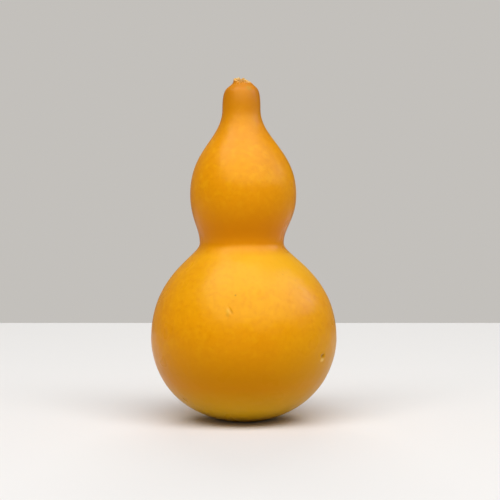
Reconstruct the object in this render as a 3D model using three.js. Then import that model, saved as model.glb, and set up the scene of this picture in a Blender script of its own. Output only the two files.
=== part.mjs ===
// A dried bottle gourd, in millimetres. It stands on the small flat spot under its belly, with
// +Z up through its neck, and its front faces -Y. The fruit grew as one piece: a round belly,
// a waist, a smaller bulb, a short neck and the torn stub of its stem.
import * as THREE from "three";

// Where the outline turns, from the ground up. At each place the rind stands this far from the
// centre line, this high above the ground, and the centre line has swayed this far to the right.
const foot = { radius: 6, height: 0, sway: 0 };
const belly = { radius: 27.2, height: 23.4, sway: 0.1 };
const waist = { radius: 12.3, height: 51.6, sway: -0.5 };
const bulb = { radius: 15.5, height: 65.9, sway: -0.1 };
const neck = { radius: 5.6, height: 90.6, sway: -0.6 };
const shoulder = { radius: 2.9, height: 98.1, sway: -0.3 };

// How far the outline keeps its direction beside each of those places, before it bends.
const footReach = 18.6;
const bellyReach = { below: 4.7, above: 19.4 };
const waistReach = { below: 3.7, above: 4.6 };
const bulbReach = { below: 7.5, above: 13 };
const neckReach = { below: 8.6, above: 6.6 };
const shoulderReach = 2.2;
const footSlope = THREE.MathUtils.degToRad(11);
const shoulderSlope = THREE.MathUtils.degToRad(49);

// The fruit is slightly flatter from front to back, and its three seed chambers just show.
const flattening = 0.015;
const chamberCount = 3;
const chamberSwell = 0.004;

// The stub: a ribbed collar with a torn rim round a shallow hollow. The rim is highest at the back
// left and low in front, and a piece of it has broken away on the right.
const stubRimRadius = 2.65;
const stubRimWidth = 1;
const stubRimRounding = 0.15;
const stubMeanHeight = 99.12;
const stubSlant = 0.78;
const stubHighSide = THREE.MathUtils.degToRad(114);
const stubRibs = { count: 5, depth: 0.04 };
const stubTeeth = [
  { count: 7, height: 0.14, turn: 3.1 },
  { count: 11, height: 0.09, turn: 2.6 },
];
const stubBreak = { side: THREE.MathUtils.degToRad(15), halfWidth: 0.6, depth: 0.5 };
const hollowRadius = 1;
const hollowFloor = 97.9;

// How finely the surface is divided.
const segmentsAround = 60;
const ringsToBelly = 15;
const ringsToWaist = 15;
const ringsToBulb = 8;
const ringsToNeck = 11;
const ringsToShoulder = 6;

// One stretch of the outline, as a curve through (radius, height, sway).
function stretch(from, leaving, to, arriving) {
  const start = new THREE.Vector3(from.radius, from.height, from.sway);
  const end = new THREE.Vector3(to.radius, to.height, to.sway);
  return new THREE.CubicBezierCurve3(start, start.clone().add(leaving), end.clone().sub(arriving), end);
}

// A step along the outline: so far, at this slope above the horizontal, outwards or inwards.
function step(reach, slope = Math.PI / 2, outwards = 1) {
  return new THREE.Vector3(outwards * reach * Math.cos(slope), reach * Math.sin(slope), 0);
}

function outline() {
  const stretches = [
    [stretch(foot, step(footReach, footSlope), belly, step(bellyReach.below)), ringsToBelly],
    [stretch(belly, step(bellyReach.above), waist, step(waistReach.below)), ringsToWaist],
    [stretch(waist, step(waistReach.above), bulb, step(bulbReach.below)), ringsToBulb],
    [stretch(bulb, step(bulbReach.above), neck, step(neckReach.below)), ringsToNeck],
    [
      stretch(neck, step(neckReach.above), shoulder, step(shoulderReach, shoulderSlope, -1)),
      ringsToShoulder,
    ],
  ];
  return stretches.flatMap(([curve, rings], i) => curve.getSpacedPoints(rings).slice(i ? 1 : 0));
}

// The point of the rind at one angle round the gourd, for a place on the outline.
function rindPoint(angle, { x: radius, y: height, z: sway }) {
  const swell = 1 + chamberSwell * Math.sin(chamberCount * angle);
  return new THREE.Vector3(
    sway + radius * swell * Math.cos(angle),
    radius * swell * (1 - flattening) * Math.sin(angle),
    height,
  );
}

// The height of the stub's torn rim at one angle round it.
function rimHeight(angle) {
  const slant = stubSlant * Math.cos(angle - stubHighSide);
  const teeth = stubTeeth.map(({ count, height, turn }) => height * Math.cos(count * angle + turn));
  const turned = THREE.MathUtils.euclideanModulo(angle - stubBreak.side + Math.PI, 2 * Math.PI);
  const fromBreak = turned - Math.PI;
  const broken = stubBreak.depth * Math.exp(-((fromBreak / stubBreak.halfWidth) ** 2));
  return stubMeanHeight + slant + teeth[0] + teeth[1] - broken;
}

// The stub's rings, up its outside, over the torn rim and down into the hollow. Each is a
// function from the angle to a point.
function stubRings() {
  const rib = (angle) => 1 + stubRibs.depth * Math.cos(stubRibs.count * angle);
  const collarRadius = (shoulder.radius + stubRimRadius) / 2;
  const rimInner = stubRimRadius - stubRimWidth;
  const places = [
    (angle) => [collarRadius * rib(angle), (shoulder.height + rimHeight(angle)) / 2],
    (angle) => [stubRimRadius * rib(angle), rimHeight(angle) - stubRimRounding],
    (angle) => [stubRimRadius - stubRimWidth / 2, rimHeight(angle)],
    (angle) => [rimInner, rimHeight(angle) - stubRimRounding],
    () => [hollowRadius, hollowFloor],
  ];
  return places.map((place) => (angle) => {
    const [radius, height] = place(angle);
    return rindPoint(angle, { x: radius, y: height, z: shoulder.sway });
  });
}

// Fills a ring with flat triangles: a large one in the middle, then smaller ones towards the ring.
function fillRing(start, facing) {
  const triangles = [];
  const addBetween = (from, to) => {
    if (to - from < 2) return;
    const between = Math.floor((from + to) / 2);
    triangles.push([from, between, to]);
    addBetween(from, between);
    addBetween(between, to);
  };
  const third = segmentsAround / 3;
  triangles.push([0, third, 2 * third]);
  for (const corner of [0, third, 2 * third]) addBetween(corner, corner + third);
  return triangles.flatMap((corners) => {
    const [a, b, c] = corners.map((corner) => start + (corner % segmentsAround));
    return facing === "up" ? [a, b, c] : [a, c, b];
  });
}

// One closed surface: the flat foot, ring after ring up the gourd, and the floor of the hollow.
function gourdGeometry() {
  const rings = [...outline().map((place) => (angle) => rindPoint(angle, place)), ...stubRings()];
  const points = [];
  for (const ring of rings) {
    for (let j = 0; j < segmentsAround; j++) points.push(ring((2 * Math.PI * j) / segmentsAround));
  }

  const last = (rings.length - 1) * segmentsAround;
  const index = [...fillRing(0, "down"), ...fillRing(last, "up")];
  for (let j = 0; j < segmentsAround; j++) {
    const next = (j + 1) % segmentsAround;
    for (let low = 0; low < last; low += segmentsAround) {
      const high = low + segmentsAround;
      index.push(low + j, low + next, high + next);
      index.push(low + j, high + next, high + j);
    }
  }
  const geometry = new THREE.BufferGeometry().setFromPoints(points);
  geometry.setIndex(index);
  geometry.computeVertexNormals();
  return geometry;
}

// The waxy, orange-yellow rind.
const rind = new THREE.MeshStandardMaterial({ color: 0xe89a12, roughness: 0.4, metalness: 0 });
const gourd = new THREE.Mesh(gourdGeometry(), rind);
gourd.name = "gourd";

const bottleGourd = new THREE.Group();
bottleGourd.add(gourd);

export default bottleGourd;
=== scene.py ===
import bpy
import numpy as np
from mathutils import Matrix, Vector, noise


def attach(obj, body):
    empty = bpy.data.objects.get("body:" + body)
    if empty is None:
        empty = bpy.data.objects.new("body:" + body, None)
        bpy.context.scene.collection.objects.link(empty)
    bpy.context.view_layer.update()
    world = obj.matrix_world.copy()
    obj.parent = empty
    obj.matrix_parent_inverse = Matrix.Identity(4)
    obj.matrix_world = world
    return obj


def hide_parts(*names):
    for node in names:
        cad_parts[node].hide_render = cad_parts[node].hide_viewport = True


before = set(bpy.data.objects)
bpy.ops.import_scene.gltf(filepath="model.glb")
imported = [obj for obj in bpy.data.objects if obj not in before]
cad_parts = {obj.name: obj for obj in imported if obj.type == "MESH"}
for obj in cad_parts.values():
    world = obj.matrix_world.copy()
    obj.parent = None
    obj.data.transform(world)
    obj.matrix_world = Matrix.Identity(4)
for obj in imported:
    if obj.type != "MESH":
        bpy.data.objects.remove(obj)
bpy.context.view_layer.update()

# The gourd's own surface: one dried fruit, grown as a single piece. A round belly, a waist, a
# smaller bulb and a short neck run into each other, and the neck ends in the stub of the stem,
# torn off when the fruit was picked. It stands on a small flat spot under the belly.

# Where the outline turns, from the ground up, in metres: how far the rind stands from the centre
# line, how high it is, and how far the centre line has swayed to the right.
FOOT = np.array([0.006, 0, 0])
BELLY = np.array([0.0272, 0.0234, 0.0001])
WAIST = np.array([0.0123, 0.0516, -0.0005])
BULB = np.array([0.0155, 0.0659, -0.0001])
NECK = np.array([0.0056, 0.0906, -0.0006])
SHOULDER = np.array([0.0029, 0.0981, -0.0003])
UP = np.array([0, 1, 0])
FOOT_REACH = 0.0186
FOOT_SLOPE = np.radians(11)
SHOULDER_REACH = 0.0022
SHOULDER_SLOPE = np.radians(49)
foot_leaves = FOOT_REACH * np.array([np.cos(FOOT_SLOPE), np.sin(FOOT_SLOPE), 0])
shoulder_arrives = SHOULDER_REACH * np.array([-np.cos(SHOULDER_SLOPE), np.sin(SHOULDER_SLOPE), 0])

# Each stretch between two of those places: where it starts, how far it keeps its direction there
# and at its end, where it ends, and how many rings of points it has.
STRETCHES = [
    (FOOT, foot_leaves, 0.0047 * UP, BELLY, 62),
    (BELLY, 0.0194 * UP, 0.0037 * UP, WAIST, 60),
    (WAIST, 0.0046 * UP, 0.0075 * UP, BULB, 30),
    (BULB, 0.0130 * UP, 0.0086 * UP, NECK, 44),
    (NECK, 0.0066 * UP, shoulder_arrives, SHOULDER, 22),
]

# The fruit is slightly flatter from front to back, and its three seed chambers just show.
FLATTENING = 0.015
CHAMBERS = 3
CHAMBER_SWELL = 0.004

# Two marks on the rind, each at an angle round the gourd and a height.
PIT = (np.radians(-33.2), 0.0203)
SCAR = (np.radians(-98.5), 0.0340)
MARKS = [PIT, SCAR]

# How finely the surface is divided, and how its points are crowded together near the marks.
COLUMNS = 300
FOOT_RINGS = 11
CURVE_SAMPLES = 400
ANGLE_SAMPLES = 4000
CROWDING = 4
CROWDED_HEIGHT = 0.0015
CROWDED_ANGLE = 0.06
EXTRA_RINGS = 12


def hump(distance, width):
    """1 at no distance, falling away softly over a width."""
    return np.exp(-((distance / width) ** 2))


def steps(count):
    """Even steps up to 1, without the 0 that they start from."""
    return np.linspace(0, 1, count + 1)[1:]


def evenly(points, count, crowded_heights):
    """The points of a line, placed again at even steps, with more of them near some heights."""
    lengths = np.linalg.norm(np.diff(points, axis=0), axis=1)
    middle = (points[1:, 1] + points[:-1, 1]) / 2
    weight = 1 + sum(CROWDING * hump(middle - height, CROWDED_HEIGHT) for height in crowded_heights)
    along = np.concatenate([[0], np.cumsum(lengths * weight)])
    wanted = np.linspace(0, along[-1], count + 1)
    return np.stack([np.interp(wanted, along, column) for column in points.T], axis=1)


def stretch(start, leaving, arriving, end, count):
    """A stretch of the outline as points of radius, height and sway."""
    t = np.linspace(0, 1, CURVE_SAMPLES)[:, None]
    first, second = start + leaving, end - arriving
    curve = (1 - t) ** 3 * start + 3 * (1 - t) ** 2 * t * first + 3 * (1 - t) * t**2 * second + t**3 * end
    heights = [height for _, height in MARKS if start[1] < height < end[1]]
    return evenly(curve, count + EXTRA_RINGS * len(heights), heights)


def angles_round(count):
    """Angles round the gourd, closer together where the marks are."""
    fine = np.linspace(-np.pi, np.pi, ANGLE_SAMPLES + 1)
    weight = np.ones(ANGLE_SAMPLES)
    for angle, _ in MARKS:
        weight += CROWDING * hump(fine[:-1] - angle, CROWDED_ANGLE)
    along = np.concatenate([[0], np.cumsum(weight)])
    return np.interp(np.linspace(0, along[-1], count + 1)[:-1], along, fine)


def rind_points(angle, place):
    """Points of the rind at these angles, for places of radius, height and sway."""
    radius, height, sway = place[..., 0], place[..., 1], place[..., 2]
    swell = 1 + CHAMBER_SWELL * np.sin(CHAMBERS * angle)
    x = sway + radius * swell * np.cos(angle)
    y = radius * swell * (1 - FLATTENING) * np.sin(angle)
    return np.stack([x, y, height + 0 * angle], axis=-1)


rows = [stretch(*values) for values in STRETCHES]
outline = np.vstack([row[(1 if i else 0):] for i, row in enumerate(rows)])
foot_rings = [np.array([FOOT[0] * t, 0, 0]) for t in steps(FOOT_RINGS + 1)[:-1]]
angles = angles_round(COLUMNS)


def on_the_rind(mark):
    """The point where a mark at an angle and a height lies on the rind."""
    angle, height = mark
    place = np.array([np.interp(height, outline[:, 1], outline[:, k]) for k in range(3)])
    return Vector(rind_points(np.array(angle), place))


# The stub: a ribbed collar whose rim was torn, highest at the back left, low in front and broken
# away on the right, round a shallow hollow of torn fibres.
STUB_RIM_RADIUS = 0.00265
STUB_RIM_WIDTH = 0.001
STUB_RIM_ROUNDING = 0.00015
STUB_MEAN_HEIGHT = 0.09912
STUB_SLANT = 0.00078
STUB_HIGH_SIDE = np.radians(114)
STUB_BREAK_SIDE = np.radians(15)
STUB_BREAK_HALF_WIDTH = 0.6
STUB_BREAK_DEPTH = 0.0005
HOLLOW_RADIUS = 0.001
HOLLOW_FLOOR = 0.0979

# Waves round the stub, each a count, a depth and a turn. The ribs' depths are shares of the radius.
STUB_RIBS = [(5, 0.04, 0), (17, 0.015, 0.4)]
STUB_TEETH = [(7, 0.00014, 3.1), (11, 0.00009, 2.6)]
STUB_SHREDS = [(23, 0.00004, 0.7), (37, 0.00003, 1.9)]
SHREDS_LOWER = 0.00007

# Its rings of points, and the powers of the way along that bend the collar and the hollow's wall.
COLLAR_RINGS = 8
RIM_RINGS = 7
WALL_RINGS = 8
FLOOR_RINGS = 3
COLLAR_CURVE = 0.7
WALL_CURVE = 0.8


def waves(angle, kinds):
    """Waves round the stub, added up."""
    return sum(depth * np.cos(count * angle + turn) for count, depth, turn in kinds)


def rim_height(angle):
    """How high the torn rim stands at these angles."""
    slant = STUB_SLANT * np.cos(angle - STUB_HIGH_SIDE)
    ragged = waves(angle, STUB_TEETH) + waves(angle, STUB_SHREDS) - SHREDS_LOWER
    off_break = (angle - STUB_BREAK_SIDE + np.pi) % (2 * np.pi) - np.pi
    broken = STUB_BREAK_DEPTH * hump(off_break, STUB_BREAK_HALF_WIDTH)
    return STUB_MEAN_HEIGHT + slant + ragged - broken


def stub_places(angle):
    """Rings of places up the outside of the stub, over its rim and down into the hollow."""
    rib = 1 + waves(angle, STUB_RIBS)
    outer = STUB_RIM_RADIUS * rib
    inner = STUB_RIM_RADIUS - STUB_RIM_WIDTH
    edge = rim_height(angle) - STUB_RIM_ROUNDING
    rings = []
    for t in steps(COLLAR_RINGS):
        radius = SHOULDER[0] + (STUB_RIM_RADIUS - SHOULDER[0]) * t**COLLAR_CURVE
        rings.append((radius * (1 + (rib - 1) * t), SHOULDER[1] + (edge - SHOULDER[1]) * t))
    for t in steps(RIM_RINGS):
        rings.append((outer + (inner - outer) * t, edge + STUB_RIM_ROUNDING * np.sin(np.pi * t)))
    for t in steps(WALL_RINGS):
        radius = inner + (HOLLOW_RADIUS - inner) * t
        rings.append((radius, edge + (HOLLOW_FLOOR - edge) * t**WALL_CURVE))
    for t in steps(FLOOR_RINGS + 1)[:-1]:
        rings.append((HOLLOW_RADIUS * (1 - t), HOLLOW_FLOOR))
    every = 0 * angle
    sway = SHOULDER[2] + every
    return [np.stack([radius + every, high + every, sway], axis=-1) for radius, high in rings]


grid = [rind_points(angles, place + np.zeros((COLUMNS, 3))) for place in [*foot_rings, *outline]]
grid += [rind_points(angles, places) for places in stub_places(angles)]
grid = np.array(grid)
ring_count = len(grid)
stub_start = len(foot_rings) + len(outline)

# Relief on that surface. The dried rind is slowly swollen and finely uneven, each kind as a size
# and a height, and it flattens out towards the ground.
SWELLS = [(0.014, 0.00006), (0.0042, 0.000015)]
SWELLS_LOWER = 0.00003
SWELLS_FULL_AT = 0.003
around = np.roll(grid, -1, axis=1) - np.roll(grid, 1, axis=1)
along = np.gradient(grid, axis=0)
normals = np.cross(around, along)
normals /= np.maximum(np.linalg.norm(normals, axis=2, keepdims=True), 1e-12)
swells = np.zeros((ring_count, COLUMNS))
for i in range(stub_start):
    for j in range(COLUMNS):
        point = Vector(grid[i, j])
        swells[i, j] = sum(high * noise.noise(point / size) for size, high in SWELLS)
swells -= SWELLS_LOWER
swells *= np.clip(grid[..., 2] / SWELLS_FULL_AT, 0, 1)

# The pit, somewhat wider than high, has a low lip round it.
PIT_DEPTH = 0.0004
PIT_RADIUS = 0.00042
PIT_NARROWING = 0.6
PIT_LIP_HEIGHT = 0.00006
PIT_LIP_RADIUS = 0.0009
PIT_LIP_WIDTH = 0.0003
pit_offset = grid - np.array(on_the_rind(PIT))
pit_aside = PIT_NARROWING * np.linalg.norm(pit_offset[..., :2], axis=2)
pit_distance = np.hypot(pit_aside, pit_offset[..., 2])
pit_relief = PIT_LIP_HEIGHT * hump(pit_distance - PIT_LIP_RADIUS, PIT_LIP_WIDTH)
pit_relief -= PIT_DEPTH * hump(pit_distance, PIT_RADIUS)

# The healed scar leans down to the right: a low ridge, and a crease close beside it.
SCAR_ALONG = Vector((0.53, 0, -0.85))
SCAR_ACROSS = Vector((0.85, 0, 0.53))
SCAR_LENGTH = 0.0010
RIDGE_HEIGHT = 0.00018
RIDGE_ASIDE = -0.0004
RIDGE_WIDTH = 0.0004
CREASE_DEPTH = 0.00024
CREASE_ASIDE = 0.0003
CREASE_WIDTH = 0.00025
scar_offset = grid - np.array(on_the_rind(SCAR))
scar_across = scar_offset @ np.array(SCAR_ACROSS)
scar_near = hump(scar_offset @ np.array(SCAR_ALONG), SCAR_LENGTH) * (grid[..., 1] < 0)
scar_relief = RIDGE_HEIGHT * scar_near * hump(scar_across - RIDGE_ASIDE, RIDGE_WIDTH)
scar_relief -= CREASE_DEPTH * scar_near * hump(scar_across - CREASE_ASIDE, CREASE_WIDTH)

# The dimple under the belly, where the blossom sat.
DIMPLE_DEPTH = 0.0004
DIMPLE_RADIUS = 0.0022
from_axis = np.hypot(grid[..., 0], grid[..., 1])
underneath = np.arange(ring_count)[:, None] < len(foot_rings)
dimple = np.where(underneath, -DIMPLE_DEPTH * np.exp(-((from_axis / DIMPLE_RADIUS) ** 4)), 0)

# The crumbled fibre of the stub, each kind as a size and how far it strays.
CRUMBS = [(0.0007, 0.00010), (0.00028, 0.00005)]
CRUMB_SEED = 2
noise.seed_set(CRUMB_SEED)
crumbs = np.zeros((ring_count, COLUMNS, 3))
for i in range(stub_start, ring_count):
    grown = min(1, (i - stub_start) / COLLAR_RINGS)
    for j in range(COLUMNS):
        point = Vector(grid[i, j])
        for size, stray in CRUMBS:
            crumbs[i, j] += stray * grown * np.array(noise.noise_vector(point / size))

# All of it together. Nothing stands above the top of the CAD solid or below the ground.
TOP = 0.10003
relief = swells + pit_relief + scar_relief + dimple
grid = grid + normals * relief[..., None] + crumbs
grid[:, :, 2] = np.clip(grid[:, :, 2], 0, TOP)


def placed(name, points, faces):
    """A mesh object of these points and faces, put in the scene."""
    mesh = bpy.data.meshes.new(name)
    mesh.from_pydata(points, [], faces)
    thing = bpy.data.objects.new(name, mesh)
    bpy.context.scene.collection.objects.link(thing)
    return thing


# The closed mesh: four-sided faces between the rings, and a fan at each end.
points = [tuple(point) for point in grid.reshape(-1, 3)]
foot_centre = len(points)
hollow_centre = foot_centre + 1
points.append((0, 0, DIMPLE_DEPTH))
points.append((SHOULDER[2], 0, HOLLOW_FLOOR))
faces = []
last = (ring_count - 1) * COLUMNS
for j in range(COLUMNS):
    beside = (j + 1) % COLUMNS
    faces.append((foot_centre, beside, j))
    faces.append((last + j, last + beside, hollow_centre))
    for low in range(0, last, COLUMNS):
        high = low + COLUMNS
        faces.append((low + j, low + beside, high + beside, high + j))
gourd = placed("gourd_rind", points, faces)
gourd.data.shade_smooth()

# How torn the surface is, by the rings up the stub: nothing on the rind, some on the collar and
# nearly full on its rim, less so on the low side. And how far down the hollow the painted shade
# lies: nothing up to the middle of the rim, and full from near the top of the wall down.
TORN_BY_RING = {0: 0, 4: 0.1, 7: 0.6, 10: 0.95}
TORN_FADE = 0.25
HOLLOW_SHADE_BY_RING = {11: 0, 16: 1}
rings_up_stub = np.arange(ring_count)[:, None] - stub_start + np.zeros(COLUMNS)
torn = np.interp(rings_up_stub, list(TORN_BY_RING), list(TORN_BY_RING.values()))
torn *= 1 - TORN_FADE * (1 - np.cos(angles - STUB_HIGH_SIDE))
hollow_shade = np.interp(rings_up_stub, list(HOLLOW_SHADE_BY_RING), list(HOLLOW_SHADE_BY_RING.values()))
for name, amount in (("torn", torn), ("hollow_shade", hollow_shade)):
    values = np.append(amount.ravel(), [0, 1]).astype(np.float32)
    gourd.data.attributes.new(name, "FLOAT", "POINT").data.foreach_set("value", values)

# The rind's material: waxy orange, a little uneven in colour and gloss, with fine pores and a few
# specks. A painted highlight makes the upper belly yellower, painted shade makes it deeper at the
# waist, on the neck and down the lower belly, and painted shade and a painted reflection make it
# olive underneath. On the stub it turns to dry fibre, with painted shade down its hollow.
rind = bpy.data.materials.new("waxy_rind")
rind.use_nodes = True
nodes, links = rind.node_tree.nodes, rind.node_tree.links
shader = nodes["Principled BSDF"]
coordinates = nodes.new("ShaderNodeTexCoord").outputs["Object"]
separate = nodes.new("ShaderNodeSeparateXYZ")
links.new(coordinates, separate.inputs["Vector"])


def clouds(scale, detail=2.0):
    """Soft random patches over the surface, scale of them to the metre."""
    node = nodes.new("ShaderNodeTexNoise")
    node.inputs["Scale"].default_value = scale
    node.inputs["Detail"].default_value = detail
    links.new(coordinates, node.inputs["Vector"])
    return node.outputs["Fac"]


def ranged(value, low, high, to_low=0.0, to_high=1.0):
    """Value carried from one range to another, held at the ends."""
    node = nodes.new("ShaderNodeMapRange")
    links.new(value, node.inputs["Value"])
    for name, number in zip(("From Min", "From Max", "To Min", "To Max"), (low, high, to_low, to_high)):
        node.inputs[name].default_value = number
    return node.outputs["Result"]


def combined(operation, first, second):
    """Two amounts multiplied, or the larger of them. Each is a number or a node's output."""
    node = nodes.new("ShaderNodeMath")
    node.operation = operation
    for socket, value in zip(node.inputs, (first, second)):
        if isinstance(value, float):
            socket.default_value = value
        else:
            links.new(value, socket)
    return node.outputs["Value"]


def mixed(amount, first, second):
    """One colour turned into another by an amount. Each is a colour or a node's output."""
    node = nodes.new("ShaderNodeMix")
    node.data_type = "RGBA"
    links.new(amount, node.inputs["Factor"])
    for socket, colour in ((node.inputs["A"], first), (node.inputs["B"], second)):
        if isinstance(colour, tuple):
            socket.default_value = (*colour, 1)
        else:
            links.new(colour, socket)
    return node.outputs["Result"]


def at_height(low, high, to_low, to_high):
    """An amount that changes from one height to another."""
    return ranged(separate.outputs["Z"], low, high, to_low, to_high)


def sideways(left, right, to_left, to_right):
    """An amount that changes from one place to another further to the right."""
    return ranged(separate.outputs["X"], left, right, to_left, to_right)


def band(heights, amount):
    """An amount that sets in between two heights and ends between two higher ones."""
    starts, full, fades, ends = heights
    return combined("MULTIPLY", at_height(starts, full, 0.0, amount), at_height(fades, ends, 1.0, 0.0))


# The rind is yellower all up its right side, and a painted highlight makes it yellower on the upper
# belly, less so to the left. A band is four heights, and each other range is two heights, two
# sideways places or two values of the clouds, with the amount at each.
ORANGE = (0.84, 0.322, 0.001)
YELLOW = (0.84, 0.395, 0.002)
UPPER_BELLY = (0.026, 0.041, 0.0495, 0.052)
UPPER_BELLY_HIGHLIGHT = 0.90
UPPER_BELLY_SIDEWAYS = (-0.022, -0.006, 0.4, 1.0)
RIGHT_SIDE = (0.006, 0.026, 0.0, 0.75)
YELLOW_PATCHES = 45
YELLOW_PATCH_RANGE = (0.30, 0.60, 0.6, 1.0)
upper_belly_highlight = combined("MULTIPLY", band(UPPER_BELLY, UPPER_BELLY_HIGHLIGHT), sideways(*UPPER_BELLY_SIDEWAYS))
right_side = sideways(*RIGHT_SIDE)
highlight_and_right_yellow = combined("MAXIMUM", upper_belly_highlight, right_side)
yellow_patches = ranged(clouds(YELLOW_PATCHES), *YELLOW_PATCH_RANGE)
colour = mixed(combined("MULTIPLY", highlight_and_right_yellow, yellow_patches), ORANGE, YELLOW)

# Its mottling, each kind as patches to the metre, their detail, the range of the clouds over which
# they set in, their strength and their colour.
DEEP_ORANGE = (0.76, 0.268, 0.001)
PALE_ORANGE = (0.90, 0.40, 0.004)
MOTTLES = [
    (130, 3.0, 0.48, 0.72, 0.30, DEEP_ORANGE),
    (800, 2.0, 0.45, 0.70, 0.50, DEEP_ORANGE),
    (520, 2.0, 0.50, 0.68, 0.50, PALE_ORANGE),
]
for scale, detail, low, high, strength, shade in MOTTLES:
    colour = mixed(ranged(clouds(scale, detail), low, high, 0.0, strength), colour, shade)

# The slower changes of colour from the belly's top up to the neck, and down to the ground, all
# painted light: a painted highlight on the belly's top, painted shade round the waist, up the neck
# and down the lower belly, and painted shade with a painted reflection underneath.
BELLY_TOP_PAINTED_HIGHLIGHT = (0.87, 0.440, 0.005)
BELLY_TOP = (0.038, 0.046, 0.0485, 0.0505)
BELLY_TOP_STRENGTH = 0.8
BELLY_TOP_SIDEWAYS = (-0.010, 0.004, 0.1, 1.0)
WAIST_PAINTED_SHADE = (0.68, 0.232, 0.001)
ROUND_THE_WAIST = (0.048, 0.054, 0.056, 0.070)
NECK_PAINTED_SHADE = (0.60, 0.200, 0.001)
UP_THE_NECK = (0.080, 0.094, 0.0, 0.9)
LOWER_SHADED_ORANGE = (0.62, 0.235, 0.001)
LOWER_SHADED_YELLOW = (0.64, 0.300, 0.001)
DOWN_THE_BELLY = (0.015, 0.031, 0.95, 0.0)
UNDERSIDE_SHADE_AND_REFLECTION = (0.59, 0.325, 0.003)
UNDER_THE_BELLY = (0.004, 0.012, 1.0, 0.0)
belly_top_highlight = combined("MULTIPLY", band(BELLY_TOP, BELLY_TOP_STRENGTH), sideways(*BELLY_TOP_SIDEWAYS))
colour = mixed(belly_top_highlight, colour, BELLY_TOP_PAINTED_HIGHLIGHT)
colour = mixed(band(ROUND_THE_WAIST, 1.0), colour, WAIST_PAINTED_SHADE)
colour = mixed(at_height(*UP_THE_NECK), colour, NECK_PAINTED_SHADE)
colour = mixed(at_height(*DOWN_THE_BELLY), colour, mixed(right_side, LOWER_SHADED_ORANGE, LOWER_SHADED_YELLOW))
colour = mixed(at_height(*UNDER_THE_BELLY), colour, UNDERSIDE_SHADE_AND_REFLECTION)

# Pores: small dark dots in some places of a random scatter.
SPECK_BROWN = (0.50, 0.19, 0.005)
PORES = 420
PORE_SHARE = (0.66, 0.72)
PORE_SIZE = (0.05, 0.13, 1.0, 0.0)
PORE_STRENGTH = 0.16
scatter = nodes.new("ShaderNodeTexVoronoi")
scatter.inputs["Scale"].default_value = PORES
links.new(coordinates, scatter.inputs["Vector"])
some = ranged(scatter.outputs["Color"], *PORE_SHARE)
pores = combined("MULTIPLY", ranged(scatter.outputs["Distance"], *PORE_SIZE), some)
colour = mixed(combined("MULTIPLY", pores, PORE_STRENGTH), colour, SPECK_BROWN)


def spot(place, inner, outer, strength):
    """A strength within inner metres of a point, falling to 0 at outer."""
    node = nodes.new("ShaderNodeVectorMath")
    node.operation = "DISTANCE"
    links.new(coordinates, node.inputs[0])
    node.inputs[1].default_value = place
    return ranged(node.outputs["Value"], inner, outer, strength, 0.0)


# The specks that stand out, each at an angle round the gourd, a height, a radius and a strength.
SPECKS = [
    (-95.0, 0.0381, 0.00040, 0.75),
    (-54.8, 0.0434, 0.00026, 0.40),
    (-45.7, 0.0416, 0.00026, 0.35),
    (-112.0, 0.0421, 0.00026, 0.30),
    (-78.0, 0.0368, 0.00024, 0.30),
    (60.0, 0.0330, 0.00034, 0.45),
    (150.0, 0.0270, 0.00030, 0.45),
    (100.0, 0.0710, 0.00026, 0.40),
]
SPECK_CORE = 0.4
for degrees, high, radius, strength in SPECKS:
    place = on_the_rind((np.radians(degrees), high))
    colour = mixed(spot(place, SPECK_CORE * radius, radius, strength), colour, SPECK_BROWN)

# A dull olive stain on the neck. It and the marks below are spots, each with the radius of its core,
# the radius where it ends, and its strength.
STAIN_OLIVE = (0.52, 0.27, 0.004)
STAIN = (np.radians(-63.2), 0.0966)
STAIN_SPOT = (0.0004, 0.0012, 0.6)
colour = mixed(spot(on_the_rind(STAIN), *STAIN_SPOT), colour, STAIN_OLIVE)

# The pit: dark inside, with a dull ring round it and a pale fleck on its lower lip. The dark inside
# and the fleck are made of spots side by side, so they are wider than high.
PIT_BROWN = (0.32, 0.135, 0.002)
PIT_SPOT = (0.0002, 0.0006, 0.8)
PIT_SPOTS_ASIDE = np.radians([-0.9, 0, 0.9])
PIT_RING_SPOT = (0.0005, 0.0016, 0.25)
FLECK_PALE = (0.88, 0.60, 0.17)
FLECK_SPOT = (0.0003, 0.00075, 0.65)
FLECK_SPOTS_ASIDE = np.radians([-0.7, 0.7])
FLECK_BELOW = 0.0012
colour = mixed(spot(on_the_rind(PIT), *PIT_RING_SPOT), colour, STAIN_OLIVE)
for aside in FLECK_SPOTS_ASIDE:
    place = on_the_rind((PIT[0] + aside, PIT[1] - FLECK_BELOW))
    colour = mixed(spot(place, *FLECK_SPOT), colour, FLECK_PALE)
for aside in PIT_SPOTS_ASIDE:
    place = on_the_rind((PIT[0] + aside, PIT[1]))
    colour = mixed(spot(place, *PIT_SPOT), colour, PIT_BROWN)

# The scar: a painted shadow along a crease beside a painted highlight along a ridge, and a second
# faint painted shadow along a crease below them. Each is a row of spots: how far along the scar they
# lie, how far aside, their size and their colour.
CREASE_PAINTED_SHADE = (0.60, 0.23, 0.003)
RIDGE_PAINTED_HIGHLIGHT = (0.90, 0.46, 0.045)
RIDGE_ALONG = (-0.0003, 0.0001, 0.0005)
CREASE_ALONG = (-0.0009, -0.0005, -0.0001, 0.0003, 0.0007, 0.0011)
LOWER_CREASE_ALONG = (0.0007, 0.0011)
LOWER_CREASE_ASIDE = -0.0011
SCAR_STREAKS = [
    (RIDGE_ALONG, RIDGE_ASIDE, (0.0002, 0.0008, 0.85), RIDGE_PAINTED_HIGHLIGHT),
    (CREASE_ALONG, CREASE_ASIDE, (0.00015, 0.0005, 0.55), CREASE_PAINTED_SHADE),
    (LOWER_CREASE_ALONG, LOWER_CREASE_ASIDE, (0.0002, 0.0007, 0.45), CREASE_PAINTED_SHADE),
]
scar_place = on_the_rind(SCAR)
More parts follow.
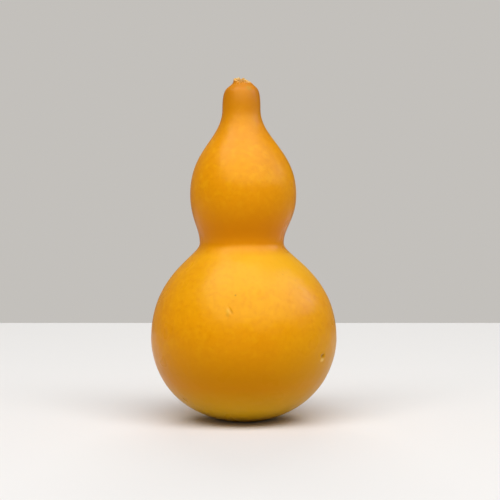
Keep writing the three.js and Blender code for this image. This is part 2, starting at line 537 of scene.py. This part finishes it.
for places_along, aside, size, shade in SCAR_STREAKS:
    for place_along in places_along:
        place = scar_place + place_along * SCAR_ALONG + aside * SCAR_ACROSS
        colour = mixed(spot(place, *size), colour, shade)


def surface_value(name):
    """An amount stored on the mesh."""
    node = nodes.new("ShaderNodeAttribute")
    node.attribute_name = name
    return node.outputs["Fac"]


# The stub's torn fibre: cream and tan, with painted shade making it darker down the hollow.
CREAM = (0.86, 0.66, 0.28)
TAN = (0.72, 0.37, 0.04)
HOLLOW_PAINTED_SHADE = (0.50, 0.21, 0.015)
HOLLOW_SHADE_STRENGTH = 0.8
FIBRE_PATCHES = 950
FIBRE_PATCH_RANGE = (0.44, 0.54)
torn_amount = surface_value("torn")
fibre = mixed(ranged(clouds(FIBRE_PATCHES, 3.0), *FIBRE_PATCH_RANGE), TAN, CREAM)
fibre = mixed(combined("MULTIPLY", surface_value("hollow_shade"), HOLLOW_SHADE_STRENGTH), fibre, HOLLOW_PAINTED_SHADE)
colour = mixed(torn_amount, colour, fibre)
links.new(colour, shader.inputs["Base Color"])

# The gloss: a thin, warm wax, duller up the neck and nearly gone on the torn fibre.
WAX_PATCHES = 150
WAX_ROUGHNESS = (0.3, 0.7, 0.27, 0.34)
NECK_ROUGHNESS = (0.080, 0.088, 0.25, 0.42)
FIBRE_ROUGHNESS = 0.8
waxy = ranged(clouds(WAX_PATCHES, 1.0), *WAX_ROUGHNESS)
fibre_roughness = combined("MULTIPLY", torn_amount, FIBRE_ROUGHNESS)
dull = combined("MAXIMUM", at_height(*NECK_ROUGHNESS), fibre_roughness)
links.new(combined("MAXIMUM", waxy, dull), shader.inputs["Roughness"])
shader.inputs["IOR"].default_value = 1.22
shader.inputs["Specular Tint"].default_value = (1.0, 0.88, 0.24, 1)


def bumped(height, depth, below=None):
    """A bump as high as depth in metres, laid over another bump."""
    node = nodes.new("ShaderNodeBump")
    node.inputs["Distance"].default_value = depth
    links.new(height, node.inputs["Height"])
    if below is not None:
        links.new(below, node.inputs["Normal"])
    return node.outputs["Normal"]


# The finest relief, too small for the mesh: soft dents all over, and fibres on the stub.
DENTS = 330
DENT_DEPTH = 0.00013
FIBRES = 2600
FIBRE_DEPTH = 0.00012
dents = bumped(clouds(DENTS, 1.0), DENT_DEPTH)
fibres = combined("MULTIPLY", clouds(FIBRES, 3.0), torn_amount)
links.new(bumped(fibres, FIBRE_DEPTH, dents), shader.inputs["Normal"])
gourd.data.materials.append(rind)

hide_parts("gourd")
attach(gourd, "root")

# The floor: a plain, near-white board that the gourd stands on, painted so dull that it mirrors
# nothing. It isn't part of the object.
FLOOR_HALF_WIDTH = 0.9
FLOOR_BACK = 0.290
FLOOR_FRONT = -0.9
FLOOR_WHITE = (0.84, 0.83, 0.82)
floor_corners = [
    (-FLOOR_HALF_WIDTH, FLOOR_FRONT, 0),
    (FLOOR_HALF_WIDTH, FLOOR_FRONT, 0),
    (FLOOR_HALF_WIDTH, FLOOR_BACK, 0),
    (-FLOOR_HALF_WIDTH, FLOOR_BACK, 0),
]


def dull_paint(name, colour):
    """A plain paint with no shine at all."""
    paint = bpy.data.materials.new(name)
    paint.use_nodes = True
    paint_shader = paint.node_tree.nodes["Principled BSDF"]
    paint_shader.inputs["Base Color"].default_value = (*colour, 1)
    paint_shader.inputs["Roughness"].default_value = 0.9
    paint_shader.inputs["Specular IOR Level"].default_value = 0
    return paint


floor = placed("floor", floor_corners, [(0, 1, 2, 3)])
floor.data.materials.append(dull_paint("white_board", FLOOR_WHITE))

# The light: pale surroundings that look brighter to the camera than the little light they give, and
# one wide soft box above the front, which gives the shading, with a weak one for the back.
ROOM_GREY = (0.546, 0.527, 0.500)
ROOM_LIGHT = 0.38
ROOM_AS_SEEN = 1.0
LIGHT_DISTANCE = 1.25
LIGHT_AIM = Vector((0, 0, 0.045))
world = bpy.data.worlds.new("pale_room")
bpy.context.scene.world = world
world.use_nodes = True
room, wires = world.node_tree.nodes, world.node_tree.links
surroundings = room["Background"]
surroundings.inputs["Color"].default_value = (*ROOM_GREY, 1)
room_strength = room.new("ShaderNodeMapRange")
room_strength.inputs["To Min"].default_value = ROOM_LIGHT
room_strength.inputs["To Max"].default_value = ROOM_AS_SEEN
wires.new(room.new("ShaderNodeLightPath").outputs["Is Camera Ray"], room_strength.inputs["Value"])
wires.new(room_strength.outputs["Result"], surroundings.inputs["Strength"])


def soft_box(name, azimuth, elevation, width, depth, energy):
    """A wide soft light aimed at the gourd, from an azimuth and elevation in degrees."""
    data = bpy.data.lights.new(name, "AREA")
    data.shape = "RECTANGLE"
    data.size = width
    data.size_y = depth
    data.energy = energy
    box = bpy.data.objects.new(name, data)
    turn, rise = np.radians(azimuth), np.radians(elevation)
    outward = Vector((np.sin(turn) * np.cos(rise), -np.cos(turn) * np.cos(rise), np.sin(rise)))
    box.location = LIGHT_AIM + LIGHT_DISTANCE * outward
    box.rotation_mode = "QUATERNION"
    box.rotation_quaternion = outward.to_track_quat("Z", "Y")
    box.visible_camera = False
    box.visible_glossy = False
    bpy.context.scene.collection.objects.link(box)


soft_box("key_light", azimuth=3, elevation=60, width=2.0, depth=0.65, energy=19.2)
soft_box("back_light", azimuth=180, elevation=30, width=0.8, depth=0.5, energy=4.5)

# A curved bright panel that only the gloss mirrors: above the front and round to the right, with a
# level lower edge and a leaning left one, so the highlight has the same shape as in a real room.
# Angles are in degrees, and the left edge is a list of elevations and azimuths.
PANEL_DISTANCE = 0.60
PANEL_CENTRE_HEIGHT = 0.04
PANEL_RIGHT = 118
PANEL_LEFT_EDGE = np.array([
    (19, -30),
    (30, -46),
    (40, -62),
    (50, -80),
    (60, -97),
    (70, -115),
    (88, -170),
])
PANEL_ROWS = 16
PANEL_COLUMNS = 24
PANEL_BRIGHTNESS = 6.6
PANEL_RIGHT_BRIGHTNESS = 4.4
PANEL_FADES = (45, 100)
PANEL_COLOUR = (0.88, 0.95, 1.95)


def only_mirrored(thing):
    """Keeps a thing out of sight and out of the light, so only the gloss shows it."""
    thing.visible_camera = False
    thing.visible_diffuse = False
    thing.visible_shadow = False


panel_points = []
panel_brightness = []
for elevation in np.linspace(PANEL_LEFT_EDGE[0, 0], PANEL_LEFT_EDGE[-1, 0], PANEL_ROWS):
    left = np.interp(elevation, PANEL_LEFT_EDGE[:, 0], PANEL_LEFT_EDGE[:, 1])
    azimuths = np.linspace(left, PANEL_RIGHT, PANEL_COLUMNS)
    panel_brightness.extend(np.interp(azimuths, PANEL_FADES, (PANEL_BRIGHTNESS, PANEL_RIGHT_BRIGHTNESS)))
    out = PANEL_DISTANCE * np.cos(np.radians(elevation))
    high = PANEL_CENTRE_HEIGHT + PANEL_DISTANCE * np.sin(np.radians(elevation))
    for azimuth in np.radians(azimuths):
        panel_points.append((out * np.sin(azimuth), -out * np.cos(azimuth), high))
panel_faces = []
for row in range(PANEL_ROWS - 1):
    for column in range(PANEL_COLUMNS - 1):
        low = row * PANEL_COLUMNS + column
        high = low + PANEL_COLUMNS
        panel_faces.append((low, low + 1, high + 1, high))
panel = placed("bright_panel", panel_points, panel_faces)
brightness = panel.data.attributes.new("brightness", "FLOAT", "POINT")
brightness.data.foreach_set("value", panel_brightness)
glow = bpy.data.materials.new("panel_glow")
glow.use_nodes = True
glow_shader = glow.node_tree.nodes["Principled BSDF"]
glow_shader.inputs["Base Color"].default_value = (0, 0, 0, 1)
glow_shader.inputs["Emission Color"].default_value = (*PANEL_COLOUR, 1)
painted = glow.node_tree.nodes.new("ShaderNodeAttribute")
painted.attribute_name = "brightness"
glow.node_tree.links.new(painted.outputs["Fac"], glow_shader.inputs["Emission Strength"])
panel.data.materials.append(glow)
only_mirrored(panel)

# A dim card that only the gloss mirrors, close beside the smaller bulb and the neck on the right. It
# keeps the highlight there narrow.
CARD_BESIDE = 0.028
CARD_FRONT = -0.030
CARD_REAR = 0.100
CARD_LOW = 0.073
CARD_HIGH = 0.130
CARD_GREY = (0.12, 0.10, 0.06)
card_corners = [
    (CARD_BESIDE, CARD_FRONT, CARD_LOW),
    (CARD_BESIDE, CARD_REAR, CARD_LOW),
    (CARD_BESIDE, CARD_REAR, CARD_HIGH),
    (CARD_BESIDE, CARD_FRONT, CARD_HIGH),
]
card = placed("dim_card", card_corners, [(0, 1, 2, 3)])
card.data.materials.append(dull_paint("dim_grey", CARD_GREY))
only_mirrored(card)

# The camera looks at the front, slightly from above, as square to the gourd as the photo does. Its
# lens and sensor are in millimetres.
CAMERA_DISTANCE = 0.400
CAMERA_ELEVATION = np.radians(2.5)
CAMERA_AIM = Vector((0.0019, 0, 0.0496))
CAMERA_LENS = 98.5
CAMERA_SENSOR = 36
camera = bpy.data.objects.new("camera", bpy.data.cameras.new("camera"))
camera.data.lens = CAMERA_LENS
camera.data.sensor_width = CAMERA_SENSOR
backwards = Vector((0, -np.cos(CAMERA_ELEVATION), np.sin(CAMERA_ELEVATION)))
camera.location = CAMERA_AIM + CAMERA_DISTANCE * backwards
camera.rotation_mode = "QUATERNION"
camera.rotation_quaternion = backwards.to_track_quat("Z", "Y")
bpy.context.scene.collection.objects.link(camera)
bpy.context.scene.camera = camera
bpy.context.scene.view_settings.view_transform = "Standard"

bpy.context.view_layer.update()
